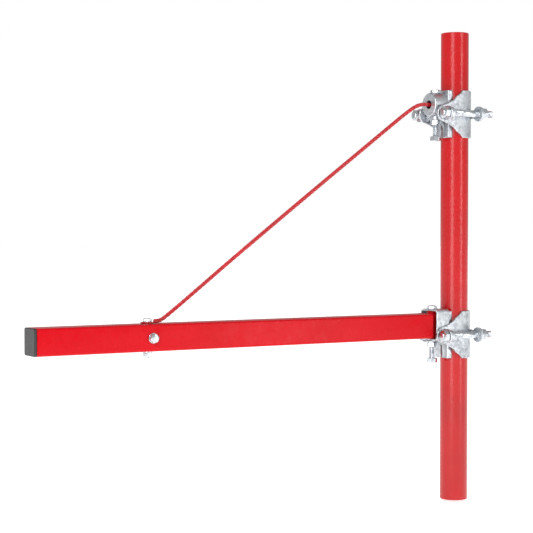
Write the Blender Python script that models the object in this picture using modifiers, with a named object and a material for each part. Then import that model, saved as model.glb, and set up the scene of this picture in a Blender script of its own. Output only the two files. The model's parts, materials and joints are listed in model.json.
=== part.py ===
"""Hoist support arm: a square-tube arm held on a round post by two bolted clamps, and tied back by a rope.

The origin is the centre of the post's lower end. +Z is up and the arm reaches out along -X.
Sizes are in metres.
"""

import math

import bmesh
import bpy
from mathutils import Matrix, Vector

# ---- Post ----
POST_RADIUS = 0.02415
POST_WALL = 0.0032
POST_LENGTH = 0.815

# ---- Clamps, the same for both heights ----
LOWER_CLAMP_Z = 0.290
UPPER_CLAMP_Z = 0.673
CLAMP_HEIGHT = 0.082
STRAP = 0.0039
EAR_REACH = 0.0572
EAR_TIP_RADIUS = 0.0148
EAR_SHOULDER_X = -0.0035
LUG_THICKNESS = 0.007
LUG_HEIGHT = 0.020
LUG_FRONT_X = -0.044
SLOT_CLEARANCE = 0.0006
STUD_RADIUS = 0.006
STUD_OFFSET = 0.041
STUD_FRONT_X = -0.0585
STUD_BACK_X = 0.049
YOKE_THICKNESS = 0.004
YOKE_EYE_X = 0.0185
YOKE_EYE_RADIUS = 0.013
YOKE_WAIST = 0.0145
JAW_THICKNESS = 0.0038
JAW_HALF_WIDTH = 0.0190
JAW_SLOT_WIDTH = 0.004
JAW_SLOT_DEPTH = 0.022

# ---- Vertical bolts: the arm turns on the lower one, and the rope's eye is loose on the upper one ----
LOWER_PIVOT_X = -0.048
UPPER_PIVOT_X = -0.0415
PIVOT_RADIUS = 0.005
PIVOT_TAIL = 0.0285

# ---- Lower bracket and upper rope barrel ----
BRACKET_LIFT = 0.0174
BRACKET_HEIGHT = 0.0548
BRACKET_WIDTH = 0.0474
BRACKET_WALL = 0.0034
BRACKET_FRONT_X = -0.0550
BRACKET_CORNER = 0.0055
BARREL_LIFT = 0.0160
BARREL_RADIUS = 0.020
BARREL_WALL = 0.003
BARREL_FRONT_X = -0.0524
DISC_THICKNESS = 0.0036
ROPE_HOLE_RADIUS = 0.0075

# ---- Arm ----
ARM_SIDE = 0.042
ARM_WALL = 0.0025
ARM_CORNER = 0.0036
ARM_CENTRE_Z = 0.306
ARM_FREE_X = -0.7850
ARM_PLATE_X = -0.0605
ARM_PLATE_THICKNESS = 0.003
CAP_THICKNESS = 0.0042
CAP_PLUG_DEPTH = 0.018
BUSH_RADIUS = 0.0088

# ---- Rope and its anchor ----
ROPE_RADIUS = 0.0034
ANCHOR_X = -0.596
ANCHOR_RADIUS = 0.004
EYE_RADIUS = 0.011
EYE_THICKNESS = 0.003
UPPER_EYE_BORE = 0.0067
UPPER_EYE_RADIUS = 0.0098
CROSS_PIN_RADIUS = 0.0078
SIDE_BOLT_DEPTH = 0.0065

# ---- Fasteners: across flats, nut height and washer radius for each thread radius ----
FLATS = {0.004: 0.013, 0.005: 0.0165, 0.006: 0.0185}
NUT_HEIGHT = {0.004: 0.0062, 0.005: 0.0080, 0.006: 0.0098}
WASHER_RADIUS = {0.004: 0.0080, 0.005: 0.0100, 0.006: 0.0120}
WASHER_THICKNESS = 0.0020
HOLE_CLEARANCE = 0.0003
TOUCH = 0.0003
PIVOT_NUT_ROOM = FLATS[PIVOT_RADIUS] / math.sqrt(3) + 3 * TOUCH
ROUND_SIDES = 16
BIG_ROUND_SIDES = 40

RED = ("red_gloss_paint", (0.62, 0.005, 0.012), 0.25, 0.0)
ROPE_RED = ("rope_red", (0.58, 0.008, 0.016), 0.4, 0.0)
PLATE = ("galvanised_plate", (0.62, 0.64, 0.66), 0.42, 1.0)
ZINC = ("zinc_plated_steel", (0.66, 0.69, 0.72), 0.28, 1.0)
BLACK = ("black_plastic", (0.012, 0.012, 0.013), 0.5, 0.0)

AXIS_TURNS = {
    "Z": Matrix.Identity(4),
    "X": Matrix.Rotation(math.pi / 2, 4, "Y"),
    "Y": Matrix.Rotation(-math.pi / 2, 4, "X"),
}


def clear_scene():
    for obj in list(bpy.data.objects):
        bpy.data.objects.remove(obj, do_unlink=True)
    for collection in list(bpy.data.collections):
        bpy.data.collections.remove(collection)


def new_collection(name):
    collection = bpy.data.collections.new(name)
    bpy.context.scene.collection.children.link(collection)
    return collection


def material(finish):
    name, colour, roughness, metallic = finish
    found = bpy.data.materials.get(name)
    if found:
        return found
    made = bpy.data.materials.new(name)
    made.use_nodes = True
    shader = made.node_tree.nodes["Principled BSDF"]
    shader.inputs["Base Color"].default_value = (*colour, 1.0)
    shader.inputs["Roughness"].default_value = roughness
    shader.inputs["Metallic"].default_value = metallic
    return made


def place(obj, finish, location=(0, 0, 0), turn="Z"):
    """Puts a piece in the parts collection, or a cutter, which has no finish, among the cutters."""
    obj.matrix_world = Matrix.Translation(location) @ AXIS_TURNS[turn]
    if finish:
        obj.data.materials.append(material(finish))
        PARTS.objects.link(obj)
    else:
        obj.hide_render = True
        obj.display_type = "WIRE"
        CUTTERS.objects.link(obj)
    return obj


def bevel(obj, width):
    rounding = obj.modifiers.new("Rounded_edges", "BEVEL")
    rounding.width = width
    rounding.segments = 1
    rounding.limit_method = "ANGLE"
    rounding.angle_limit = math.radians(50)
    return obj


def boolean(obj, other, operation="DIFFERENCE"):
    step = obj.modifiers.new(operation.title(), "BOOLEAN")
    step.operation = operation
    step.object = other
    return obj


def box(name, low, high, finish):
    size = Vector(high) - Vector(low)
    mesh = bpy.data.meshes.new(name)
    shape = bmesh.new()
    bmesh.ops.create_cube(shape, size=1.0)
    bmesh.ops.scale(shape, vec=size, verts=shape.verts)
    shape.to_mesh(mesh)
    shape.free()
    return place(bpy.data.objects.new(name, mesh), finish, (Vector(low) + Vector(high)) / 2)


def turned(name, profile, finish, location, turn="Z", sides=ROUND_SIDES, closed=False):
    """Turns (radius, height) points, listed down the outer side, round the local Z axis."""
    mesh = bpy.data.meshes.new(name)
    shape = bmesh.new()
    points = [shape.verts.new((radius, 0, height)) for radius, height in profile]
    for start, end in zip(points, points[1:] + points[:1] if closed else points[1:]):
        shape.edges.new((start, end))
    shape.to_mesh(mesh)
    shape.free()
    obj = place(bpy.data.objects.new(name, mesh), finish, location, turn)
    screw = obj.modifiers.new("Turn", "SCREW")
    screw.steps = screw.render_steps = sides
    screw.use_merge_vertices = True
    screw.merge_threshold = 0.00001
    screw.use_smooth_shade = True
    return obj


def rod(name, radius, low, high, finish, location=(0, 0, 0), turn="Z", chamfer=0.0, sides=ROUND_SIDES):
    """A solid round rod along its turned Z axis, from low to high."""
    profile = [(0, high), (radius - chamfer, high), (radius, high - chamfer)]
    profile += [(radius, low + chamfer), (radius - chamfer, low), (0, low)]
    if not chamfer:
        profile = [(0, high), (radius, high), (radius, low), (0, low)]
    return turned(name, profile, finish, location, turn, sides)


def ring(name, inner, outer, low, high, finish, location=(0, 0, 0), turn="Z", chamfer=0.0,
         sides=ROUND_SIDES):
    """A bored round piece: a washer, a tube or a collar."""
    profile = [(inner, high), (outer - chamfer, high), (outer, high - chamfer)]
    profile += [(outer, low + chamfer), (outer - chamfer, low), (inner, low)]
    if not chamfer:
        profile = [(inner, high), (outer, high), (outer, low), (inner, low)]
    return turned(name, profile, finish, location, turn, sides, closed=True)


def arc(centre, radius, start, end, steps):
    """Points along an arc, with both ends, from start to end in degrees."""
    points = []
    for step in range(steps + 1):
        angle = math.radians(start + (end - start) * step / steps)
        points.append((centre[0] + radius * math.cos(angle), centre[1] + radius * math.sin(angle)))
    return points


def circle(centre, radius, steps=ROUND_SIDES):
    return arc(centre, radius, 0, 360, steps)[:-1]


def rounded_rectangle(centre, width, height, radius, steps=3):
    x, y = width / 2 - radius, height / 2 - radius
    corners = ((x, y, 0), (-x, y, 90), (-x, -y, 180), (x, -y, 270))
    points = []
    for corner_x, corner_y, start in corners:
        points += arc((centre[0] + corner_x, centre[1] + corner_y), radius, start, start + 90, steps)
    return points


def plate(name, outlines, low, high, finish, turn="XY", offset=(0, 0, 0)):
    """A flat outline, with any holes as further outlines, made a closed mesh between low and high.

    turn names the plane that the outline lies in: XY, XZ or YZ.
    """
    curve = bpy.data.curves.new(name, "CURVE")
    curve.dimensions = "2D"
    curve.fill_mode = "BOTH"
    curve.extrude = (high - low) / 2
    for outline in outlines:
        spline = curve.splines.new("POLY")
        spline.points.add(len(outline) - 1)
        for point, (x, y) in zip(spline.points, outline):
            point.co = (x, y, 0, 1)
        spline.use_cyclic_u = True
    guide = bpy.data.objects.new(name + "_outline", curve)
    bpy.context.scene.collection.objects.link(guide)
    bpy.context.view_layer.update()
    mesh = bpy.data.meshes.new_from_object(guide.evaluated_get(bpy.context.evaluated_depsgraph_get()))
    bpy.data.objects.remove(guide, do_unlink=True)
    shape = bmesh.new()
    shape.from_mesh(mesh)
    bmesh.ops.remove_doubles(shape, verts=shape.verts, dist=0.00002)
    bmesh.ops.recalc_face_normals(shape, faces=shape.faces)
    bmesh.ops.dissolve_limit(
        shape, angle_limit=0.01, verts=shape.verts, edges=shape.edges, delimit=set()
    )
    shape.to_mesh(mesh)
    shape.free()
    mesh.materials.clear()
    planes = {
        "XY": Matrix.Identity(4),
        "XZ": Matrix.Rotation(math.pi / 2, 4, "X"),
        "YZ": Matrix(((0, 0, 1, 0), (1, 0, 0, 0), (0, 1, 0, 0), (0, 0, 0, 1))),
    }
    middle = (low + high) / 2
    along = {"XY": (0, 0, middle), "XZ": (0, middle, 0), "YZ": (middle, 0, 0)}[turn]
    obj = place(bpy.data.objects.new(name, mesh), finish)
    obj.matrix_world = Matrix.Translation(Vector(offset) + Vector(along)) @ planes[turn]
    return obj


def hexagon(name, thread, low, high, finish, location, turn="Z", bored=True, spin=0):
    """A chamfered hex nut or bolt head round the turned Z axis, from low to high."""
    flats = FLATS[thread]
    corner = flats / math.sqrt(3)
    mesh = bpy.data.meshes.new(name)
    shape = bmesh.new()
    bmesh.ops.create_cone(
        shape, cap_ends=True, segments=6, radius1=corner, radius2=corner, depth=high - low
    )
    bmesh.ops.rotate(shape, matrix=Matrix.Rotation(math.radians(spin), 3, "Z"), verts=shape.verts)
    bmesh.ops.translate(shape, vec=(0, 0, (low + high) / 2), verts=shape.verts)
    shape.to_mesh(mesh)
    shape.free()
    obj = place(bpy.data.objects.new(name, mesh), finish, location, turn)
    face = flats / 2 * 0.97
    drop = (corner - face) * 0.55
    wide = corner + 0.001
    slope = drop / (corner - face)
    profile = [(face, high + 0.00001), (wide, high - (wide - face) * slope)]
    profile += [(wide, low + (wide - face) * slope), (face, low - 0.00001)]
    if bored:
        bore = thread + HOLE_CLEARANCE
        profile = [(bore, high + 0.00001)] + profile + [(bore, low - 0.00001)]
        blank = turned(name + "_blank", profile, None, location, turn, closed=True)
    else:
        profile = [(0, high + 0.00001)] + profile + [(0, low - 0.00001)]
        blank = turned(name + "_blank", profile, None, location, turn)
    return boolean(obj, blank, "INTERSECT")


# ---- The post ----


def build_post():
    ring("post_tube", POST_RADIUS - POST_WALL, POST_RADIUS, 0, POST_LENGTH, RED, chamfer=0.0006,
         sides=BIG_ROUND_SIDES)


# ---- The clamps ----


def ear_outline():
    """Side view of the rear saddle: full height behind, narrowing in a fish tail to a round tip."""
    half = CLAMP_HEIGHT / 2
    tip_x = -EAR_REACH + EAR_TIP_RADIUS
    back = POST_RADIUS + STRAP + 0.004
    flare = EAR_TIP_RADIUS * 0.55
    upper = [
        (back, half),
        (EAR_SHOULDER_X, half),
        (EAR_SHOULDER_X - flare * 0.7, half - flare * 0.75),
        (EAR_SHOULDER_X - flare * 1.7, EAR_TIP_RADIUS * 2.02),
        (tip_x * 0.52, EAR_TIP_RADIUS * 1.64),
        (tip_x * 0.78, EAR_TIP_RADIUS * 1.24),
    ]
    tip = arc((tip_x, 0), EAR_TIP_RADIUS, 96, 264, 10)
    lower = [(x, -z) for x, z in reversed(upper)]
    return upper + tip + lower


def strap_outline():
    """Plan view of the rear saddle: half a ring behind the post, with a straight side each way."""
    inner = POST_RADIUS + TOUCH
    outer = inner + STRAP
    tip = -EAR_REACH - 0.002
    outside = [(tip, -outer)] + arc((0, 0), outer, -90, 90, 16) + [(tip, outer)]
    inside = [(tip, inner)] + arc((0, 0), inner, 90, -90, 16) + [(tip, -inner)]
    return outside + inside


def build_saddle(prefix, height):
    name = prefix + "_rear_saddle"
    saddle = plate(name, [strap_outline()], -CLAMP_HEIGHT / 2 - 0.001, CLAMP_HEIGHT / 2 + 0.001, PLATE,
                   offset=(0, 0, height))
    slot_x = LUG_FRONT_X + LUG_THICKNESS / 2
    slot = rounded_rectangle(
        (slot_x, 0),
        LUG_THICKNESS + 2 * SLOT_CLEARANCE,
        LUG_HEIGHT + 2 * SLOT_CLEARANCE,
        0.0012,
        2,
    )
    width = 2 * (POST_RADIUS + STRAP + 0.004)
    side_view = plate(name + "_side", [ear_outline(), slot], -width / 2, width / 2, None, "XZ",
                      (0, 0, height))
    boolean(saddle, side_view, "INTERSECT")
    bevel(saddle, 0.0007)


def jaw_back(y):
    """Where a jaw leg at this distance from the middle meets the post."""
    return -math.sqrt(POST_RADIUS**2 - y**2) - TOUCH


def build_jaw(prefix, height):
    """A pressed channel whose two legs seat on the front of the post."""
    front = -POST_RADIUS - TOUCH - JAW_THICKNESS
    inner = JAW_HALF_WIDTH - JAW_THICKNESS
    back = jaw_back(inner)
    bend = 0.003
    outline = [(back, -JAW_HALF_WIDTH)] + [(back, -inner)]
    outline += [(front + JAW_THICKNESS, -inner), (front + JAW_THICKNESS, inner)]
    outline += [(back, inner), (back, JAW_HALF_WIDTH)]
    outline += arc((front + bend, JAW_HALF_WIDTH - bend), bend, 90, 180, 4)
    outline += arc((front + bend, -JAW_HALF_WIDTH + bend), bend, 180, 270, 4)
    name = prefix + "_front_jaw"
    jaw = plate(name, [outline], -CLAMP_HEIGHT / 2, CLAMP_HEIGHT / 2, PLATE, offset=(0, 0, height))
    bottom = height - CLAMP_HEIGHT / 2
    slot = box(
        name + "_slot",
        (front - 0.002, -JAW_SLOT_WIDTH / 2, bottom - 0.002),
        (front + JAW_THICKNESS + 0.002, JAW_SLOT_WIDTH / 2, bottom + JAW_SLOT_DEPTH),
        None,
    )
    boolean(jaw, slot)
    bevel(jaw, 0.0006)


def lug_outline(inner_y):
    """Front view of one stud lug, with its round end past the stud."""
    half = LUG_HEIGHT / 2
    end = arc((STUD_OFFSET, 0), half, -90, 90, 8)
    hole = circle((STUD_OFFSET, 0), STUD_RADIUS + HOLE_CLEARANCE)
    return [[(inner_y, half), (inner_y, -half)] + end, hole]


def build_lug(prefix, side_name, side, height, inner_y, cutter):
    name = f"{prefix}_{side_name}_lug"
    outlines = [[(side * y, z) for y, z in outline] for outline in lug_outline(inner_y)]
    lug = plate(name, outlines, LUG_FRONT_X, LUG_FRONT_X + LUG_THICKNESS, PLATE, "YZ", (0, 0, height))
    if cutter:
        boolean(lug, cutter)


def yoke_plan():
    """Plan view of the yoke: bowed round the saddle in the middle, flat at each stud."""
    inner = POST_RADIUS + TOUCH + STRAP + TOUCH
    outer = inner + YOKE_THICKNESS
    back_x = YOKE_EYE_X + YOKE_THICKNESS
    reach = STUD_OFFSET + YOKE_EYE_RADIUS + 0.001
    inner_turn = math.degrees(math.acos(YOKE_EYE_X / inner))
    outer_turn = math.degrees(math.acos(back_x / outer))
    inside = [(YOKE_EYE_X, -reach)] + arc((0, 0), inner, -inner_turn, inner_turn, 10)
    outside = [(back_x, reach)] + arc((0, 0), outer, outer_turn, -outer_turn, 10)
    return inside + [(YOKE_EYE_X, reach)] + outside + [(back_x, -reach)]


def yoke_face():
    """Rear view of the yoke: two round eyes joined by a narrower waist, with a hole at each stud."""
    waist = YOKE_WAIST / 2
    near = math.degrees(math.asin(waist / YOKE_EYE_RADIUS))
    right = arc((STUD_OFFSET, 0), YOKE_EYE_RADIUS, -180 + near, 180 - near, 12)
    left = arc((-STUD_OFFSET, 0), YOKE_EYE_RADIUS, near, 360 - near, 12)
    hole = STUD_RADIUS + HOLE_CLEARANCE
    return [right + left, circle((STUD_OFFSET, 0), hole), circle((-STUD_OFFSET, 0), hole)]


def build_yoke(prefix, height):
    name = prefix + "_rear_yoke"
    yoke = plate(name, [yoke_plan()], -YOKE_EYE_RADIUS - 0.001, YOKE_EYE_RADIUS + 0.001, PLATE,
                 offset=(0, 0, height))
    rear_view = plate(name + "_view", yoke_face(), 0, 0.06, None, "YZ", (0, 0, height))
    boolean(yoke, rear_view, "INTERSECT")


def build_stud(prefix, side_name, side, height):
    """A clamping stud, with a washer and a nut at each end."""
    start = f"{prefix}_{side_name}_"
    at = (0, side * STUD_OFFSET, height)
    bore = STUD_RADIUS + HOLE_CLEARANCE
    radius = WASHER_RADIUS[STUD_RADIUS]
    nut = NUT_HEIGHT[STUD_RADIUS]
    rod(start + "stud", STUD_RADIUS, STUD_FRONT_X, STUD_BACK_X, ZINC, at, "X", 0.0008)
    front = LUG_FRONT_X - TOUCH
    ring(start + "front_washer", bore, radius, front - WASHER_THICKNESS, front, ZINC, at, "X")
    front -= WASHER_THICKNESS + TOUCH
    hexagon(start + "front_nut", STUD_RADIUS, front - nut, front, ZINC, at, "X", spin=8)
    back = YOKE_EYE_X + YOKE_THICKNESS + TOUCH
    ring(start + "rear_washer", bore, radius, back, back + WASHER_THICKNESS, ZINC, at, "X")
    back += WASHER_THICKNESS + TOUCH
    hexagon(start + "rear_nut", STUD_RADIUS, back, back + nut, ZINC, at, "X", spin=21)


def build_pivot_bolt(prefix, x, under_head, under_bracket, washer):
    """A vertical bolt with a hex head, its nut under the bracket and an end nut on its tail."""
    at = (x, 0, 0)
    nut = NUT_HEIGHT[PIVOT_RADIUS]
    head_top = under_head + TOUCH + nut * 0.8
    top = under_bracket - TOUCH
    if washer:
        ring(prefix + "_pivot_washer", PIVOT_RADIUS + HOLE_CLEARANCE, WASHER_RADIUS[PIVOT_RADIUS],
             top - WASHER_THICKNESS, top, ZINC, at)
        top -= WASHER_THICKNESS + TOUCH
    end = top - PIVOT_TAIL - nut
    bolt = rod(prefix + "_pivot_bolt", PIVOT_RADIUS, end, under_head + nut * 0.5, ZINC, at, chamfer=0.0008)
    head = hexagon(prefix + "_pivot_head", PIVOT_RADIUS, under_head + TOUCH, head_top, None, at, bored=False)
    boolean(bolt, head, "UNION")
    hexagon(prefix + "_pivot_nut", PIVOT_RADIUS, top - nut, top, ZINC, at, spin=14)
    hexagon(prefix + "_pivot_end_nut", PIVOT_RADIUS, end + 0.0006, end + 0.0006 + nut, ZINC, at, spin=3)


def pivot_hole(name, x, low, high):
    return rod(name, PIVOT_RADIUS + HOLE_CLEARANCE, low, high, None, (x, 0, 0))


def build_bracket():
    """The lower clamp's box bracket, open at both ends, with the pivot bolt through its flanges."""
    centre = LOWER_CLAMP_Z + BRACKET_LIFT
    half = BRACKET_HEIGHT / 2
    outer = rounded_rectangle((0, 0), BRACKET_WIDTH, BRACKET_HEIGHT, BRACKET_CORNER)
    inner = rounded_rectangle(
        (0, 0),
        BRACKET_WIDTH - 2 * BRACKET_WALL,
        BRACKET_HEIGHT - 2 * BRACKET_WALL,
        BRACKET_CORNER - BRACKET_WALL,
        3,
    )
    back = -POST_RADIUS - TOUCH - JAW_THICKNESS - TOUCH
    bracket = plate("lower_arm_bracket", [outer, inner], BRACKET_FRONT_X, back, PLATE, "YZ", (0, 0, centre))
    boolean(bracket, pivot_hole("bracket_bolt_hole", LOWER_PIVOT_X, centre - half - 0.01, centre + half + 0.01))
    bevel(bracket, 0.0006)
    build_pivot_bolt("lower", LOWER_PIVOT_X, centre + half, centre - half, True)


def build_barrel():
    """The upper clamp's barrel, whose front disc lets the rope through to the bolt inside."""
    centre = UPPER_CLAMP_Z + BARREL_LIFT
    at = (0, 0, centre)
    back = -POST_RADIUS - TOUCH - JAW_THICKNESS - TOUCH
    barrel = ring("upper_rope_barrel", BARREL_RADIUS - BARREL_WALL, BARREL_RADIUS,
                  BARREL_FRONT_X, back, PLATE, at, "X", sides=BIG_ROUND_SIDES)
    reach = BARREL_RADIUS + 0.01
    boolean(barrel, pivot_hole("barrel_bolt_hole", UPPER_PIVOT_X, centre - reach, centre + reach))
    disc_back = BARREL_FRONT_X - TOUCH
    ring("upper_barrel_disc", ROPE_HOLE_RADIUS, BARREL_RADIUS, disc_back - DISC_THICKNESS, disc_back,
         PLATE, at, "X", 0.0012, BIG_ROUND_SIDES)
    seat_bottom = centre - BARREL_RADIUS - 0.0062
    seat = ring("upper_bolt_seat", PIVOT_RADIUS + HOLE_CLEARANCE, 0.0092, seat_bottom, centre, PLATE,
                (UPPER_PIVOT_X, 0, 0), chamfer=0.0008)
    envelope = rod("barrel_envelope", BARREL_RADIUS + TOUCH, -0.09, -0.02, None, at, "X", sides=64)
    boolean(seat, envelope)
    build_pivot_bolt("upper", UPPER_PIVOT_X, centre + BARREL_RADIUS, seat_bottom, False)
    return envelope


def build_clamp(prefix, height, inner_y, cutter):
    build_saddle(prefix, height)
    build_jaw(prefix, height)
    build_yoke(prefix, height)
    for side_name, side in (("near", -1), ("far", 1)):
        build_lug(prefix, side_name, side, height, inner_y, cutter)
        build_stud(prefix, side_name, side, height)


# ---- The arm ----


def build_arm():
    half = ARM_SIDE / 2
    middle = (0, 0, ARM_CENTRE_Z)
    plate_front = ARM_PLATE_X - ARM_PLATE_THICKNESS
    outer = rounded_rectangle((0, 0), ARM_SIDE, ARM_SIDE, ARM_CORNER)
    inner_side = ARM_SIDE - 2 * ARM_WALL
    inner = rounded_rectangle((0, 0), inner_side, inner_side, ARM_CORNER - ARM_WALL, 3)
    tube = plate("arm_tube", [outer, inner], ARM_FREE_X, plate_front - TOUCH, RED, "YZ", middle)
    bottom, top = ARM_CENTRE_Z - half, ARM_CENTRE_Z + half
    hole = ANCHOR_RADIUS + HOLE_CLEARANCE
    upright = rod("arm_anchor_hole", hole, bottom - 0.01, top + 0.01, None, (ANCHOR_X, 0, 0))
    sideways = rod("arm_side_hole", hole, -half - 0.01, half + 0.01, None,
                   (ANCHOR_X, 0, ARM_CENTRE_Z), "Y")
    boolean(tube, upright)
    boolean(tube, sideways)

    end = rounded_rectangle((0, 0), ARM_SIDE, ARM_SIDE, ARM_CORNER)
    bevel(plate("arm_end_plate", [end], plate_front, ARM_PLATE_X, RED, "YZ", middle), 0.0005)

    cap = plate("arm_end_cap", [end], ARM_FREE_X - TOUCH - CAP_THICKNESS, ARM_FREE_X - TOUCH, BLACK,
                "YZ", middle)
    plug_side = inner_side - 2 * TOUCH
    plug = plate("arm_cap_plug", [rounded_rectangle((0, 0), plug_side, plug_side, 0.002, 3)],
                 ARM_FREE_X - TOUCH - CAP_THICKNESS / 2, ARM_FREE_X + CAP_PLUG_DEPTH, None, "YZ", middle)
    bevel(cap, 0.0007)
    boolean(cap, plug, "UNION")
    build_bush()


def build_bush():
    """The upright bush on the pivot bolt, with the neck that joins it to the arm's end plate."""
    centre = LOWER_CLAMP_Z + BRACKET_LIFT
    half = BRACKET_HEIGHT / 2 - BRACKET_WALL - TOUCH
    at = (LOWER_PIVOT_X, 0, 0)
    bush = rod("arm_pivot_bush", BUSH_RADIUS, centre - half, centre + half, RED, at)
    neck_half = ARM_SIDE / 2 - 0.004
    neck = box(
        "bush_neck",
        (ARM_PLATE_X + TOUCH, -BUSH_RADIUS * 0.8, ARM_CENTRE_Z - neck_half),
        (LOWER_PIVOT_X, BUSH_RADIUS * 0.8, ARM_CENTRE_Z + neck_half),
        None,
    )
    boolean(bush, neck, "UNION")
    boolean(bush, pivot_hole("bush_bore", LOWER_PIVOT_X, centre - half - 0.01, centre + half + 0.01))


# ---- The rope and its anchor ----

# Middle of the rope, as (X, Z): off the lower eye, up to the barrel, in through the disc to the bolt.
ROPE_ROUTE = (
    (-0.5847, 0.3309),
    (-0.5790, 0.3310),
    (-0.5730, 0.3323),
    (-0.5660, 0.3364),
    (-0.5380, 0.3565),
    (-0.4400, 0.4295),
    (-0.3100, 0.5244),
    (-0.1780, 0.6196),
    (-0.1260, 0.6570),
    (-0.1050, 0.6717),
    (-0.0910, 0.6806),
    (-0.0820, 0.6852),
    (-0.0735, 0.6879),
    (-0.0650, 0.6889),
    (-0.0580, 0.6890),
    (-0.0517, 0.6890),
)


def smooth_route(route, spacing):
    """Points on a smooth curve through the route, about spacing apart where the rope bends."""
    points = [Vector((x, 0, z)) for x, z in route]
    ends = [points[0] * 2 - points[1]] + points + [points[-1] * 2 - points[-2]]
    made = []
    for before, start, end, after in zip(ends, ends[1:], ends[2:], ends[3:]):
        count = max(1, min(4, round((end - start).length / spacing)))
        for step in range(count):
            t = step / count
            a, b = 0.5 * (end - before), 0.5 * (after - start)
            straight = start * (2 * t**3 - 3 * t**2 + 1) + end * (3 * t**2 - 2 * t**3)
            reach = (end - start).length
            a = a.normalized() * reach
            b = b.normalized() * reach
            made.append(straight + a * (t**3 - 2 * t**2 + t) + b * (t**3 - t**2))
    return made + [points[-1]]


def build_rope():
    curve = bpy.data.curves.new("stay_rope", "CURVE")
    curve.dimensions = "3D"
    curve.bevel_depth = ROPE_RADIUS
    curve.bevel_resolution = 3
    curve.use_fill_caps = True
    points = smooth_route(ROPE_ROUTE, 0.004)
    spline = curve.splines.new("POLY")
    spline.points.add(len(points) - 1)
    for target, point in zip(spline.points, points):
        target.co = (*point, 1)
    place(bpy.data.objects.new("stay_rope", curve), ROPE_RED)
    eye_top = UPPER_CLAMP_Z + BARREL_LIFT + ROPE_RADIUS
    ring("rope_upper_eye", UPPER_EYE_BORE, UPPER_EYE_RADIUS, eye_top - 2 * ROPE_RADIUS, eye_top,
         ROPE_RED, (UPPER_PIVOT_X, 0, 0), chamfer=0.001)


def build_anchor():
    """The bolt that holds the rope's eye on the arm, and the cross pin that it passes through."""
    half = ARM_SIDE / 2
    bottom, top = ARM_CENTRE_Z - half, ARM_CENTRE_Z + half
    at = (ANCHOR_X, 0, 0)
    bore = ANCHOR_RADIUS + HOLE_CLEARANCE
    nut = NUT_HEIGHT[ANCHOR_RADIUS]
    washer = WASHER_RADIUS[ANCHOR_RADIUS]
    eye_low = top + TOUCH
    eye_high = eye_low + EYE_THICKNESS
    ring("rope_lower_eye", bore, EYE_RADIUS, eye_low, eye_high, ROPE_RED, at, chamfer=0.001)

    head_low = eye_high + TOUCH
    washer_top = bottom - TOUCH
    nut_top = washer_top - WASHER_THICKNESS - TOUCH
    bolt = rod("anchor_bolt", ANCHOR_RADIUS, nut_top - nut - 0.002, head_low + nut * 0.4, ZINC, at,
               chamfer=0.0006)
    boolean(bolt, hexagon("anchor_head", ANCHOR_RADIUS, head_low, head_low + nut * 0.85, None, at,
                          bored=False, spin=18), "UNION")
    ring("anchor_washer", bore, washer, washer_top - WASHER_THICKNESS, washer_top, ZINC, at)
    hexagon("anchor_nut", ANCHOR_RADIUS, nut_top - nut, nut_top, ZINC, at, spin=9)

    inside = half - ARM_WALL - TOUCH
    middle = (ANCHOR_X, 0, ARM_CENTRE_Z)
    pin = rod("anchor_cross_pin", CROSS_PIN_RADIUS, -inside, inside, ZINC, middle, "Y", 0.0008)
    boolean(pin, rod("cross_pin_hole", bore, bottom, top, None, at))
    depth = inside - SIDE_BOLT_DEPTH
    sockets = rod("cross_pin_socket_near", bore, -inside - 0.01, -depth, None, middle, "Y")
    boolean(pin, sockets)
    boolean(pin, rod("cross_pin_socket_far", bore, depth, inside + 0.01, None, middle, "Y"))
    for side_name, side in (("near", -1), ("far", 1)):
        out = half + TOUCH
        faces = sorted((side * out, side * (out + 0.0016)))
        ring(f"anchor_{side_name}_washer", bore, washer, faces[0], faces[1], ZINC, middle, "Y")
        out += 0.0016 + TOUCH
        shank = sorted((side * (depth + TOUCH), side * (out + nut * 0.4)))
        bolt = rod(f"anchor_{side_name}_bolt", ANCHOR_RADIUS, shank[0], shank[1], ZINC, middle, "Y",
                   0.0005)
        faces = sorted((side * out, side * (out + nut * 0.85)))
        head = hexagon(f"anchor_{side_name}_head", ANCHOR_RADIUS, faces[0], faces[1], None, middle, "Y",
                       bored=False, spin=12)
        boolean(bolt, head, "UNION")


clear_scene()
PARTS = new_collection("hoist_support_arm")
CUTTERS = new_collection("cutters")
build_post()
build_bracket()
BARREL_ENVELOPE = build_barrel()
build_clamp("lower", LOWER_CLAMP_Z, BRACKET_WIDTH / 2 + TOUCH, None)
build_clamp("upper", UPPER_CLAMP_Z, PIVOT_NUT_ROOM, BARREL_ENVELOPE)
build_arm()
build_rope()
build_anchor()
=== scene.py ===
"""The looks of the hoist support arm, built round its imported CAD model. Sizes are in metres."""

import json
import math

import bmesh
import bpy
from mathutils import Matrix, Vector


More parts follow.
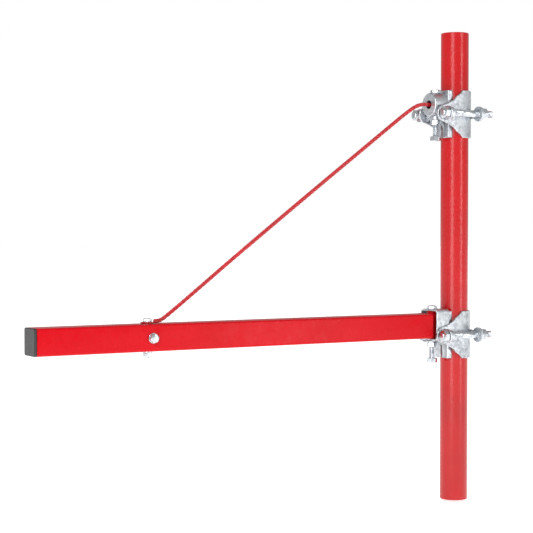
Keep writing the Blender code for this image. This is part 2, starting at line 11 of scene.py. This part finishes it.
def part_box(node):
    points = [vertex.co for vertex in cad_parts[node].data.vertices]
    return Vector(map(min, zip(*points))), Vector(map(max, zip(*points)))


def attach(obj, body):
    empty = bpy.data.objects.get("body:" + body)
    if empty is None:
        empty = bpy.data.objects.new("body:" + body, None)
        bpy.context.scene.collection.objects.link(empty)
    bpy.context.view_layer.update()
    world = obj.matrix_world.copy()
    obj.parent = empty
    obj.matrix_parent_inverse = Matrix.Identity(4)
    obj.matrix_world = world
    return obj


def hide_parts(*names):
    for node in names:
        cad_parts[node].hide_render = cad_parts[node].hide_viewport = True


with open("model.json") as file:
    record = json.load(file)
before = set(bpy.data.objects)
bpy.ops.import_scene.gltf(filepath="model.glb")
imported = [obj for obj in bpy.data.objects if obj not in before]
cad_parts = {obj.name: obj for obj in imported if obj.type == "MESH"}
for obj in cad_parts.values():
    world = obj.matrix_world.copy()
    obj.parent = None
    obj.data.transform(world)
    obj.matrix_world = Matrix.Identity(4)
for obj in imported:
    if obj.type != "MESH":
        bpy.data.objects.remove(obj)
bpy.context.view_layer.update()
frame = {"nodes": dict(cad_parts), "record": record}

AXES = {
    "X": Matrix(((0, 0, 1), (0, 1, 0), (-1, 0, 0))),
    "Y": Matrix(((1, 0, 0), (0, 0, 1), (0, -1, 0))),
    "Z": Matrix.Identity(3),
}
SMOOTH_ANGLE = math.radians(32)

# Thread radii of the clamp studs, the upright bolts and the anchor's bolts.
STUD = 0.006
PIVOT = 0.005
ANCHOR = 0.004


# ---- Materials ----


def new_material(name, colour, roughness, metallic=0.0):
    """A Principled material, its shader and a function that adds a node."""
    made = bpy.data.materials.new(name)
    made.use_nodes = True
    tree = made.node_tree
    shader = tree.nodes["Principled BSDF"]
    shader.inputs["Base Color"].default_value = (*colour, 1)
    shader.inputs["Roughness"].default_value = roughness
    shader.inputs["Metallic"].default_value = metallic
    return made, tree, shader


def object_point(tree):
    return tree.nodes.new("ShaderNodeTexCoord").outputs["Object"]


def noise(tree, point, scale, detail=4.0, rough=0.55):
    node = tree.nodes.new("ShaderNodeTexNoise")
    node.inputs["Scale"].default_value = scale
    node.inputs["Detail"].default_value = detail
    node.inputs["Roughness"].default_value = rough
    tree.links.new(point, node.inputs["Vector"])
    return node.outputs["Fac"]


def cells(tree, point, scale):
    node = tree.nodes.new("ShaderNodeTexVoronoi")
    node.inputs["Scale"].default_value = scale
    tree.links.new(point, node.inputs["Vector"])
    return node.outputs["Color"]


def ramp(tree, value, stops):
    """A colour ramp; each stop is (position, colour) with a grey or an RGB colour."""
    node = tree.nodes.new("ShaderNodeValToRGB")
    elements = node.color_ramp.elements
    while len(elements) < len(stops):
        elements.new(0.5)
    for element, (position, colour) in zip(elements, stops):
        rgb = colour if isinstance(colour, tuple) else (colour, colour, colour)
        element.position = position
        element.color = (*rgb, 1)
    tree.links.new(value, node.inputs["Fac"])
    return node.outputs["Color"]


def bump(tree, height, distance, strength, before=None):
    node = tree.nodes.new("ShaderNodeBump")
    node.inputs["Distance"].default_value = distance
    node.inputs["Strength"].default_value = strength
    tree.links.new(height, node.inputs["Height"])
    if before:
        tree.links.new(before, node.inputs["Normal"])
    return node.outputs["Normal"]


def gloss_paint(name, dark, light, peel, peel_scale, roughness, specular):
    """Sprayed red gloss: slow colour drift, fine orange peel, and a few dull patches."""
    made, tree, shader = new_material(name, light, roughness)
    point = object_point(tree)
    drift = ramp(tree, noise(tree, point, 9.0), [(0.3, dark), (0.7, light)])
    tree.links.new(drift, shader.inputs["Base Color"])
    dull_stops = [(0.35, roughness * 0.8), (0.75, roughness * 1.35)]
    dull = ramp(tree, noise(tree, point, 60.0), dull_stops)
    tree.links.new(dull, shader.inputs["Roughness"])
    coarse = bump(tree, noise(tree, point, peel_scale, 2.0), 0.0006, peel)
    fine = bump(tree, noise(tree, point, peel_scale * 3.1, 2.0), 0.0002, peel * 0.5, coarse)
    tree.links.new(fine, shader.inputs["Normal"])
    shader.inputs["Specular IOR Level"].default_value = specular
    return made


def galvanised(name, dark, light, roughness, spangle_scale):
    """Zinc-coated sheet: soft crystal spangle, dull streaks and a faintly pitted surface."""
    made, tree, shader = new_material(name, light, roughness, 0.9)
    point = object_point(tree)
    spangle = cells(tree, point, spangle_scale)
    grey = tree.nodes.new("ShaderNodeRGBToBW")
    tree.links.new(spangle, grey.inputs["Color"])
    mix = tree.nodes.new("ShaderNodeMix")
    mix.inputs["Factor"].default_value = 0.62
    tree.links.new(grey.outputs["Val"], mix.inputs["A"])
    tree.links.new(noise(tree, point, 45.0, 6.0, 0.65), mix.inputs["B"])
    tree.links.new(
        ramp(tree, mix.outputs["Result"], [(0.3, dark), (0.68, light)]), shader.inputs["Base Color"]
    )
    rough = ramp(tree, mix.outputs["Result"], [(0.3, roughness * 1.25), (0.7, roughness * 0.8)])
    tree.links.new(rough, shader.inputs["Roughness"])
    pits = bump(tree, noise(tree, point, 700.0, 3.0), 0.0003, 0.22)
    waves = bump(tree, noise(tree, point, 120.0), 0.0008, 0.16, pits)
    tree.links.new(waves, shader.inputs["Normal"])
    return made


def zinc(name, dark, light, roughness):
    """Bright zinc plate on a fastener, with fine handling marks."""
    made, tree, shader = new_material(name, light, roughness, 1.0)
    point = object_point(tree)
    patch = noise(tree, point, 190.0, 5.0, 0.6)
    tree.links.new(ramp(tree, patch, [(0.3, dark), (0.62, light)]), shader.inputs["Base Color"])
    rough = ramp(tree, patch, [(0.3, roughness * 1.5), (0.7, roughness * 0.75)])
    tree.links.new(rough, shader.inputs["Roughness"])
    marks = bump(tree, noise(tree, point, 1400.0, 2.0), 0.0001, 0.18)
    tree.links.new(marks, shader.inputs["Normal"])
    return made


def moulded_plastic(name, colour):
    """Black moulded plastic with a fine leathery grain."""
    made, tree, shader = new_material(name, colour, 0.42)
    point = object_point(tree)
    light = tuple(channel * 1.5 for channel in colour)
    tree.links.new(ramp(tree, noise(tree, point, 70.0), [(0.3, colour), (0.8, light)]),
                   shader.inputs["Base Color"])
    tree.links.new(ramp(tree, noise(tree, point, 300.0), [(0.3, 0.36), (0.7, 0.5)]),
                   shader.inputs["Roughness"])
    grain = bump(tree, noise(tree, point, 1600.0, 2.0), 0.0002, 0.35)
    tree.links.new(grain, shader.inputs["Normal"])
    return made


def rope_coating(name, dark, light):
    """Red plastic over the strands, with slow changes of shade and gloss."""
    made, tree, shader = new_material(name, light, 0.3)
    point = object_point(tree)
    tree.links.new(ramp(tree, noise(tree, point, 220.0, 3.0), [(0.3, dark), (0.7, light)]),
                   shader.inputs["Base Color"])
    tree.links.new(ramp(tree, noise(tree, point, 500.0), [(0.3, 0.24), (0.7, 0.42)]),
                   shader.inputs["Roughness"])
    tree.links.new(bump(tree, noise(tree, point, 900.0, 2.0), 0.0002, 0.2), shader.inputs["Normal"])
    shader.inputs["Coat Weight"].default_value = 0.4
    return made


LOOKS = {
    "post_red_paint": gloss_paint(
        "post_paint", (0.40, 0.0005, 0.002), (0.50, 0.001, 0.004), 0.5, 260.0, 0.2, 0.5
    ),
    "arm_red_paint": gloss_paint(
        "arm_paint", (0.48, 0.001, 0.005), (0.54, 0.0015, 0.008), 0.06, 420.0, 0.28, 0.15
    ),
    "rope_red_coating": rope_coating("rope_coating", (0.34, 0.001, 0.004), (0.56, 0.003, 0.01)),
    "galvanised_plate": galvanised(
        "galvanised", (0.36, 0.38, 0.41), (0.66, 0.69, 0.72), 0.4, 240.0
    ),
    "zinc_fastener": zinc("zinc", (0.38, 0.41, 0.44), (0.72, 0.75, 0.78), 0.22),
    "black_plastic": moulded_plastic("black_moulded", (0.018, 0.018, 0.019)),
}
SLOT_OF = {part["node"]: part["material_slot"] for part in frame["record"]["subparts"]}
BODY_OF = {
    node: body for body, nodes in frame["record"]["behaviour"]["bodies"].items() for node in nodes
}


# ---- Mesh helpers ----


def finish_piece(name, shape, *nodes):
    """Makes the bmesh a shaded piece that stands for these CAD nodes, on their body."""
    bmesh.ops.recalc_face_normals(shape, faces=shape.faces)
    mesh = bpy.data.meshes.new(name)
    shape.to_mesh(mesh)
    shape.free()
    piece = bpy.data.objects.new(name, mesh)
    bpy.context.scene.collection.objects.link(piece)
    mesh.materials.append(LOOKS[SLOT_OF[nodes[0]]])
    mesh.shade_smooth()
    mesh.set_sharp_from_angle(angle=SMOOTH_ANGLE)
    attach(piece, BODY_OF[nodes[0]])
    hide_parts(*nodes)
    return piece


def lathe(rings, sides, place, closed):
    """A skin through rings, each a function of the angle that gives (radius, height)."""
    shape = bmesh.new()
    loops = []
    for ring in rings:
        loop = []
        for side in range(sides):
            angle = 2 * math.pi * side / sides
            radius, height = ring(angle)
            loop.append(shape.verts.new(place(radius, angle, height)))
        loops.append(loop)
    pairs = list(zip(loops, loops[1:] + loops[:1])) if closed else list(zip(loops, loops[1:]))
    for first, second in pairs:
        for side in range(sides):
            after = (side + 1) % sides
            shape.faces.new((first[side], first[after], second[after], second[side]))
    if not closed:
        shape.faces.new(loops[0][::-1])
        shape.faces.new(loops[-1])
    return shape


def along(axis, centre):
    """A function that puts (radius, angle, height) round an axis through centre."""
    turn = AXES[axis]

    def place(radius, angle, height):
        return turn @ Vector((radius * math.cos(angle), radius * math.sin(angle), height)) + centre

    return place


def span(node, axis):
    """The node's centre, its low and high ends along the axis from there, and its widest radius."""
    low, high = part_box(node)
    index = "XYZ".index(axis)
    centre = (low + high) / 2
    reach = (high[index] - low[index]) / 2
    across = max((high - low)[other] for other in range(3) if other != index) / 2
    return centre, reach, across


# ---- Fasteners ----

PITCH = {ANCHOR: 0.00125, PIVOT: 0.0015, STUD: 0.00175}
FLATS = {ANCHOR: 0.013, PIVOT: 0.0165, STUD: 0.0185}
HEAD_HEIGHT = {ANCHOR: 0.0053, PIVOT: 0.0066}
HEAD_DOME = {ANCHOR: 0.0005, PIVOT: 0.0012}
THREAD_DEPTH = 0.6
RINGS_A_PITCH = 6
NUT_SIDES = 72
WASHER_CLEARANCE = 0.0001

# Ends of a clamp stud's plain middle, along X.
PLAIN_FROM = -0.0155
PLAIN_TO = 0.0165


def thread_ring(radius, pitch, height, fade):
    """One ring of a thread: a rounded vee that winds once round for each pitch."""
    depth = pitch * THREAD_DEPTH * fade

    def at(angle):
        phase = (height / pitch - angle / (2 * math.pi)) % 1.0
        wave = abs(2 * phase - 1)
        return radius - depth * min(1.0, max(0.0, 1.25 * wave - 0.12)), height

    return at


def threaded_rod(name, radius, low, high, spans, place, *nodes):
    """A rod from low to high with a real helical thread in each of the spans and chamfered ends."""
    pitch = PITCH[radius]
    step = pitch / RINGS_A_PITCH
    chamfer = radius * 0.16
    heights = {low, low + chamfer, high - chamfer, high}
    for start, end in spans:
        count = int((end - start) / step)
        heights |= {start + index * step for index in range(count + 1)}
    rings = []
    for height in sorted(value for value in heights if low <= value <= high):
        inside = [
            min(height - start, end - height) for start, end in spans if start <= height <= end
        ]
        fade = min(1.0, max(0.0, inside[0] / pitch)) if inside else 0.0
        edge = min(height - low, high - height)
        limit = radius - max(0.0, chamfer - edge)
        fade *= 1.0 if edge > chamfer else 0.5
        rings.append(thread_ring(min(radius, limit), pitch, height, fade))
    return finish_piece(name, lathe(rings, 24, place, False), *nodes)


def hex_radius(flats, angle, spin):
    """Distance from the axis to a hexagon's side at this angle."""
    sector = (angle - spin) % (math.pi / 3) - math.pi / 6
    return flats / 2 / math.cos(sector)


def hex_rings(flats, low, high, bore, spin, dome=0.0):
    """Profile of a chamfered hex nut, or of a bolt head when bore is None."""
    face = flats / 2 * 0.95
    slope = math.tan(math.radians(30))

    def level(base, sign):
        return lambda angle: (
            hex_radius(flats, angle, spin),
            base + sign * (hex_radius(flats, angle, spin) - face) * slope,
        )

    def flat(radius, height):
        return lambda angle: (radius, height)

    body = [flat(face, low), level(low, 1), level(high, -1), flat(face, high)]
    if bore is None:
        crown = [flat(face * 0.6, high + dome * 0.7), flat(0.0004, high + dome)]
        return [flat(0.0004, low)] + body + crown
    return [flat(bore, low)] + body + [flat(bore + 0.0006, high), flat(bore, high - 0.0006)]


def nut(node, axis, radius, spin):
    centre, reach, _ = span(node, axis)
    rings = hex_rings(FLATS[radius], -reach, reach, radius * 0.93, math.radians(spin))
    finish_piece(node + "_hex", lathe(rings, NUT_SIDES, along(axis, centre), True), node)


def washer(node, axis, thread):
    """A stamped washer with one rolled edge."""
    centre, reach, outer = span(node, axis)
    bore = thread + WASHER_CLEARANCE
    roll = reach * 0.45
    profile = [
        (bore, -reach),
        (outer - roll, -reach),
        (outer, -reach + roll),
        (outer, reach - roll * 0.4),
        (outer - roll * 0.4, reach),
        (bore, reach),
    ]
    rings = [lambda angle, point=point: point for point in profile]
    finish_piece(node + "_disc", lathe(rings, 48, along(axis, centre), True), node)


def stud(node, radius, front_end, back_start):
    centre, reach, _ = span(node, "X")
    spans = [(-reach, front_end - centre.x), (back_start - centre.x, reach)]
    threaded_rod(node + "_threaded", radius, -reach, reach, spans, flipped_x(centre), node)


def flipped_x(centre):
    """As along X, with heights growing towards +X."""
    return lambda radius, angle, height: centre + Vector(
        (height, radius * math.cos(angle), radius * math.sin(angle))
    )


def bolt(node, axis, radius, head_side, thread_length, spin):
    """A hex bolt along Y or Z: a threaded shank, and a separate head at the head_side end."""
    low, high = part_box(node)
    index = "XYZ".index(axis)
    reach = (high[index] - low[index]) / 2
    centre = (low + high) / 2
    if axis == "Z":
        centre.x, centre.y = AXIS_OF[node]
    else:
        centre.x, centre.z = AXIS_OF[node]
    first = Vector((1, 0, 0))
    turn = Vector((0, 0, 0))
    turn[index] = head_side
    second = turn.cross(first)

    def place(distance, angle, height):
        return (
            centre
            + first * (distance * math.cos(angle))
            + second * (distance * math.sin(angle))
            + turn * height
        )

    dome = HEAD_DOME[radius]
    head_low = reach - HEAD_HEIGHT[radius]
    shank = hex_rings(FLATS[radius], head_low, reach - dome, None, math.radians(spin), dome)
    shape = lathe(shank, NUT_SIDES, place, False)
    finish_piece(node + "_head", shape, node)
    spans = [(-reach, -reach + thread_length)]
    threaded_rod(node + "_shank", radius, -reach, head_low + 0.0005, spans, place, node)




def middle_of(node):
    low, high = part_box(node)
    return (low + high) / 2


ANCHOR_AXIS = tuple(middle_of("anchor_nut")[:2])
ARM_MIDDLE_Z = middle_of("arm_tube").z
AXIS_OF = {
    "lower_pivot_bolt": tuple(middle_of("lower_pivot_nut")[:2]),
    "upper_pivot_bolt": tuple(middle_of("upper_pivot_nut")[:2]),
    "anchor_bolt": ANCHOR_AXIS,
    "anchor_near_bolt": (ANCHOR_AXIS[0], ARM_MIDDLE_Z),
    "anchor_far_bolt": (ANCHOR_AXIS[0], ARM_MIDDLE_Z),
}


def build_fasteners():
    for prefix in ("lower", "upper"):
        for index, side in enumerate(("near", "far")):
            start = f"{prefix}_{side}_"
            stud(start + "stud", STUD, PLAIN_FROM, PLAIN_TO)
            nut(start + "front_nut", "X", STUD, 11 + 23 * index)
            nut(start + "rear_nut", "X", STUD, 24 + 17 * index)
            washer(start + "front_washer", "X", STUD)
            washer(start + "rear_washer", "X", STUD)
        bolt(prefix + "_pivot_bolt", "Z", PIVOT, 1, 0.045, 12)
        nut(prefix + "_pivot_nut", "Z", PIVOT, 14)
        nut(prefix + "_pivot_end_nut", "Z", PIVOT, 33)
    washer("lower_pivot_washer", "Z", PIVOT)
    bolt("anchor_bolt", "Z", ANCHOR, 1, 0.02, 18)
    nut("anchor_nut", "Z", ANCHOR, 9)
    washer("anchor_washer", "Z", ANCHOR)
    for side, sign in (("near", -1), ("far", 1)):
        bolt(f"anchor_{side}_bolt", "Y", ANCHOR, sign, 0.006, 12)
        washer(f"anchor_{side}_washer", "Y", ANCHOR)


# ---- Rope ----

ROPE_ROUTE = (
    (-0.5847, 0.3309), (-0.5790, 0.3310), (-0.5730, 0.3323), (-0.5660, 0.3364), (-0.5380, 0.3565),
    (-0.4400, 0.4295), (-0.3100, 0.5244), (-0.1780, 0.6196), (-0.1260, 0.6570), (-0.1050, 0.6717),
    (-0.0910, 0.6806), (-0.0820, 0.6852), (-0.0735, 0.6879), (-0.0650, 0.6889), (-0.0580, 0.6890),
    (-0.0517, 0.6890),
)
ROPE_RADIUS = 0.0034
STRANDS = 6
LAY = 0.052
STRAND_SIDES = 10


def rope_line(spacing):
    """Even points on a smooth curve through the rope's route."""
    points = [Vector((x, 0, z)) for x, z in ROPE_ROUTE]
    ends = [points[0] * 2 - points[1]] + points + [points[-1] * 2 - points[-2]]
    fine = []
    for before, start, end, after in zip(ends, ends[1:], ends[2:], ends[3:]):
        reach = (end - start).length
        leave, arrive = (end - before).normalized() * reach, (after - start).normalized() * reach
        for step in range(40):
            t = step / 40
            fine.append(start * (2 * t**3 - 3 * t**2 + 1) + end * (3 * t**2 - 2 * t**3)
                        + leave * (t**3 - 2 * t**2 + t) + arrive * (t**3 - t**2))
    fine.append(points[-1])
    made, since = [fine[0]], 0.0
    for first, second in zip(fine, fine[1:]):
        since += (second - first).length
        if since >= spacing:
            made.append(second)
            since = 0.0
    return made


def add_tube(shape, line, sides, radius, squash=1.0):
    """A closed tube round a line of points in the bmesh; squash flattens its height."""
    loops = []
    for index, point in enumerate(line):
        ahead = (line[min(index + 1, len(line) - 1)] - line[max(index - 1, 0)]).normalized()
        side = ahead.cross(Vector((0.13, 0.99, 0.02))).normalized()
        up = ahead.cross(side)
        loop = []
        for number in range(sides):
            angle = 2 * math.pi * number / sides
            offset = (side * math.cos(angle) + up * math.sin(angle)) * radius
            offset.z *= squash
            loop.append(shape.verts.new(point + offset))
        loops.append(loop)
    for first, second in zip(loops, loops[1:]):
        for number in range(sides):
            after = (number + 1) % sides
            shape.faces.new((first[number], first[after], second[after], second[number]))
    shape.faces.new(loops[0][::-1])
    shape.faces.new(loops[-1])


def build_rope():
    """Six coated strands laid round a core, along the rope's route."""
    line = rope_line(0.0028)
    strand = ROPE_RADIUS / 3
    shape = bmesh.new()
    add_tube(shape, line, STRAND_SIDES, strand * 1.35)
    for number in range(STRANDS):
        path, travelled = [], 0.0
        for index, point in enumerate(line):
            if index:
                travelled += (point - line[index - 1]).length
            ahead = (line[min(index + 1, len(line) - 1)] - line[max(index - 1, 0)]).normalized()
            up = ahead.cross(Vector((0, 1, 0)))
            angle = 2 * math.pi * (number / STRANDS + travelled / LAY)
            offset = Vector((0, 1, 0)) * math.cos(angle) + up * math.sin(angle)
            path.append(point + offset * strand * 1.9)
        add_tube(shape, path, STRAND_SIDES, strand * 1.07)
    finish_piece("stay_rope_strands", shape, "stay_rope")


def build_eye(node, name, inner, squash):
    """The rope's end eye: its strands laid round and pressed flat about the bolt."""
    centre, _, outer = span(node, "Z")
    middle, radius = (inner + outer) / 2, (outer - inner) / 2
    shape = bmesh.new()
    count = 96
    for number in range(3):
        path = []
        for index in range(count + 1):
            turn = 2 * math.pi * index / count
            lay = 2 * math.pi * number / 3 + turn * 5
            out = middle + radius * 0.42 * math.cos(lay)
            height = radius * 0.42 * math.sin(lay) * squash
            path.append(centre + Vector((out * math.cos(turn), out * math.sin(turn), height)))
        add_tube(shape, path, STRAND_SIDES, radius * 0.56, squash)
    finish_piece(name, shape, node)


# ---- Plates, tubes and the cap ----

POST_WALL = 0.0032
POST_ROLL = 0.0006
POST_SIDES = 128
EDGE_ROUNDING = {
    "galvanised_plate": 0.00035,
    "arm_red_paint": 0.0003,
    "post_red_paint": 0.0004,
    "black_plastic": 0.0005,
}


def soften(node):
    """The node's own solid, with its flat triangles merged and its edges rolled."""
    shape = bmesh.new()
    shape.from_mesh(frame["nodes"][node].data)
    bmesh.ops.remove_doubles(shape, verts=shape.verts, dist=0.000004)
    bmesh.ops.dissolve_limit(
        shape, angle_limit=math.radians(1.0), verts=shape.verts, edges=shape.edges, delimit=set()
    )
    piece = finish_piece(node + "_finished", shape, node)
    piece.data.set_sharp_from_angle(angle=math.radians(35))
    rounding = piece.modifiers.new("Rolled_edges", "BEVEL")
    rounding.width = EDGE_ROUNDING[SLOT_OF[node]]
    rounding.segments = 2
    rounding.limit_method = "ANGLE"
    rounding.angle_limit = math.radians(36)
    rounding.harden_normals = True
    return piece


def build_post():
    """The post as a round tube with rolled rims."""
    low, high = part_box("post_tube")
    bottom, top = low.z, high.z
    outer = (high.x - low.x) / 2
    inner = outer - POST_WALL
    profile = [
        (inner, bottom + POST_ROLL),
        (inner + POST_ROLL, bottom),
        (outer - POST_ROLL, bottom),
        (outer, bottom + POST_ROLL),
        (outer, top - POST_ROLL),
        (outer - POST_ROLL, top),
        (inner + POST_ROLL, top),
        (inner, top - POST_ROLL),
    ]
    rings = [lambda angle, point=point: point for point in profile]
    skin = lathe(rings, POST_SIDES, along("Z", Vector((0, 0, 0))), True)
    finish_piece("post_tube_painted", skin, "post_tube")


def build_bodywork():
    for prefix in ("lower", "upper"):
        for name in ("rear_saddle", "front_jaw", "rear_yoke", "near_lug", "far_lug"):
            soften(f"{prefix}_{name}")
    for node in ("lower_arm_bracket", "upper_rope_barrel", "upper_barrel_disc", "upper_bolt_seat"):
        soften(node)
    for node in ("arm_tube", "arm_end_plate", "arm_pivot_bush", "arm_end_cap"):
        soften(node)


# ---- Welds ----

LUG_BEAD = 0.0009
JAW_BEAD = 0.0012
FINE_BEAD = 0.0006


def weld_bead(name, points, radius, slot, body):
    """A hand-laid weld: overlapping ripples along a line of points."""
    shape = bmesh.new()
    sides = 8
    loops = []
    length = sum((b - a).length for a, b in zip(points, points[1:]))
    count = max(8, int(length / 0.0006))
    ends = list(zip(points, points[1:]))
    for index in range(count + 1):
        distance = length * index / count
        for start, end in ends:
            reach = (end - start).length
            if distance <= reach or (start, end) == ends[-1]:
                centre = start.lerp(end, min(1.0, distance / reach))
                ahead = (end - start).normalized()
                break
            distance -= reach
        ripple = radius * (0.86 + 0.14 * abs(math.sin(index * 0.9)))
        taper = min(1.0, 0.45 + min(index, count - index) * 0.2)
        side = ahead.orthogonal().normalized()
        up = ahead.cross(side)
        loop = []
        for number in range(sides):
            angle = 2 * math.pi * number / sides
            offset = (side * math.cos(angle) + up * math.sin(angle)) * ripple * taper
            loop.append(shape.verts.new(centre + offset))
        loops.append(loop)
    for first, second in zip(loops, loops[1:]):
        for number in range(sides):
            after = (number + 1) % sides
            shape.faces.new((first[number], first[after], second[after], second[number]))
    shape.faces.new(loops[0][::-1])
    shape.faces.new(loops[-1])
    bmesh.ops.recalc_face_normals(shape, faces=shape.faces)
    mesh = bpy.data.meshes.new(name)
    shape.to_mesh(mesh)
    shape.free()
    mesh.materials.append(LOOKS[slot])
    mesh.shade_smooth()
    bead = bpy.data.objects.new(name, mesh)
    bpy.context.scene.collection.objects.link(bead)
    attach(bead, body)


def build_welds():
    """Beads where the lugs, the bracket and the barrel meet, and round the arm's end plate."""
    low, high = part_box("lower_arm_bracket")
    for side, y in (("near", low.y), ("far", high.y)):
        lug_low, lug_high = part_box(f"lower_{side}_lug")
        for end, z in (("bottom", lug_low.z), ("top", lug_high.z)):
            line = [Vector((lug_low.x + 0.0006, y, z)), Vector((lug_high.x - 0.0006, y, z))]
            weld_bead(f"weld_lower_{side}_lug_{end}", line, LUG_BEAD, "galvanised_plate", "clamp_frame")
        inward = y * 0.93
        line = [Vector((high.x, inward, low.z + 0.006)), Vector((high.x, inward, high.z - 0.006))]
        weld_bead(f"weld_bracket_jaw_{side}", line, JAW_BEAD, "galvanised_plate", "clamp_frame")
    disc_low, disc_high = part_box("upper_barrel_disc")
    centre = (disc_low + disc_high) / 2
    radius = (disc_high.y - disc_low.y) / 2 - 0.0003
    circle = []
    for degrees in range(0, 361, 9):
        angle = math.radians(degrees)
        y, z = centre.y + radius * math.cos(angle), centre.z + radius * math.sin(angle)
        circle.append(Vector((disc_high.x, y, z)))
    weld_bead("weld_barrel_disc", circle, FINE_BEAD, "galvanised_plate", "clamp_frame")
    low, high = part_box("arm_end_plate")
    inset = 0.0028
    corners = (
        (low.y + inset, low.z),
        (high.y - inset, low.z),
        (high.y, low.z + inset),
        (high.y, high.z - inset),
        (high.y - inset, high.z),
        (low.y + inset, high.z),
        (low.y, high.z - inset),
        (low.y, low.z + inset),
        (low.y + inset, low.z),
    )
    square = [Vector((low.x, y, z)) for y, z in corners]
    weld_bead("weld_arm_end", square, FINE_BEAD, "arm_red_paint", "arm")


# ---- Studio ----

CAMERA_PLACE = Vector((-1.5717, -2.0281, 0.4737))
CAMERA_TURN = math.radians(-30.4)
CAMERA_DROP = math.radians(1.48)
FOCAL_LENGTHS_WIDE = 1450 / 533
SENSOR_MM = 36.0
POST_MIDDLE = (0, 0, 0.5)
KEY_AIM = (-0.3, 0, 0.4)
LIGHT_ON_PIECES = 0.5
LIGHT_SEEN = 1.0
FLOOR_GLOW = 0.8


def build_camera():
    lens = bpy.data.cameras.new("camera")
    lens.sensor_width = SENSOR_MM
    lens.lens = SENSOR_MM * FOCAL_LENGTHS_WIDE
    lens.clip_end = 50
    camera = bpy.data.objects.new("camera", lens)
    camera.location = CAMERA_PLACE
    camera.rotation_euler = (math.pi / 2 - CAMERA_DROP, 0, CAMERA_TURN)
    bpy.context.scene.collection.objects.link(camera)
    bpy.context.scene.camera = camera


def area_light(name, place, target, width, height, power):
    light = bpy.data.lights.new(name, "AREA")
    light.shape = "RECTANGLE"
    light.size, light.size_y = width, height
    light.energy = power
    lamp = bpy.data.objects.new(name, light)
    lamp.location = place
    lamp.rotation_euler = (Vector(target) - Vector(place)).to_track_quat("-Z", "Y").to_euler()
    bpy.context.scene.collection.objects.link(lamp)


def build_floor():
    shape = bmesh.new()
    bmesh.ops.create_grid(shape, x_segments=1, y_segments=1, size=30)
    mesh = bpy.data.meshes.new("floor")
    shape.to_mesh(mesh)
    shape.free()
    floor = bpy.data.objects.new("floor", mesh)
    floor.location.z = -0.004
    made, tree, shader = new_material("pale_floor", (0.93, 0.93, 0.93), 0.8)
    point = object_point(tree)
    shade = ramp(tree, noise(tree, point, 2.0), [(0.3, 0.93), (0.7, 0.95)])
    tree.links.new(shade, shader.inputs["Base Color"])
    shader.inputs["Specular IOR Level"].default_value = 0.0
    shader.inputs["Emission Color"].default_value = (1, 1, 1, 1)
    shader.inputs["Emission Strength"].default_value = FLOOR_GLOW
    mesh.materials.append(made)
    bpy.context.scene.collection.objects.link(floor)


def build_studio():
    """A white surround that lights the pieces at half strength, and three soft boxes."""
    world = bpy.data.worlds.new("studio")
    bpy.context.scene.world = world
    world.use_nodes = True
    background = world.node_tree.nodes["Background"]
    background.inputs["Color"].default_value = (1, 1, 1, 1)
    rays = world.node_tree.nodes.new("ShaderNodeLightPath")
    strength = world.node_tree.nodes.new("ShaderNodeMapRange")
    strength.inputs["To Min"].default_value = LIGHT_ON_PIECES
    strength.inputs["To Max"].default_value = LIGHT_SEEN
    world.node_tree.links.new(rays.outputs["Is Camera Ray"], strength.inputs["Value"])
    world.node_tree.links.new(strength.outputs["Result"], background.inputs["Strength"])
    bpy.context.scene.view_settings.view_transform = "Standard"
    area_light("key", (-2.6, -2.2, 2.6), KEY_AIM, 1.4, 1.4, 40)
    area_light("strip_left", (-1.65, -1.14, 0.7), POST_MIDDLE, 0.7, 2.0, 14)
    area_light("strip_right", (0.75, -1.85, 0.7), POST_MIDDLE, 0.35, 2.0, 10)


build_camera()
build_floor()
build_studio()
build_post()
build_bodywork()
build_fasteners()
build_rope()
build_eye("rope_lower_eye", "rope_lower_eye_laid", 0.0052, 0.5)
build_eye("rope_upper_eye", "rope_upper_eye_laid", 0.0062, 1.0)
build_welds()
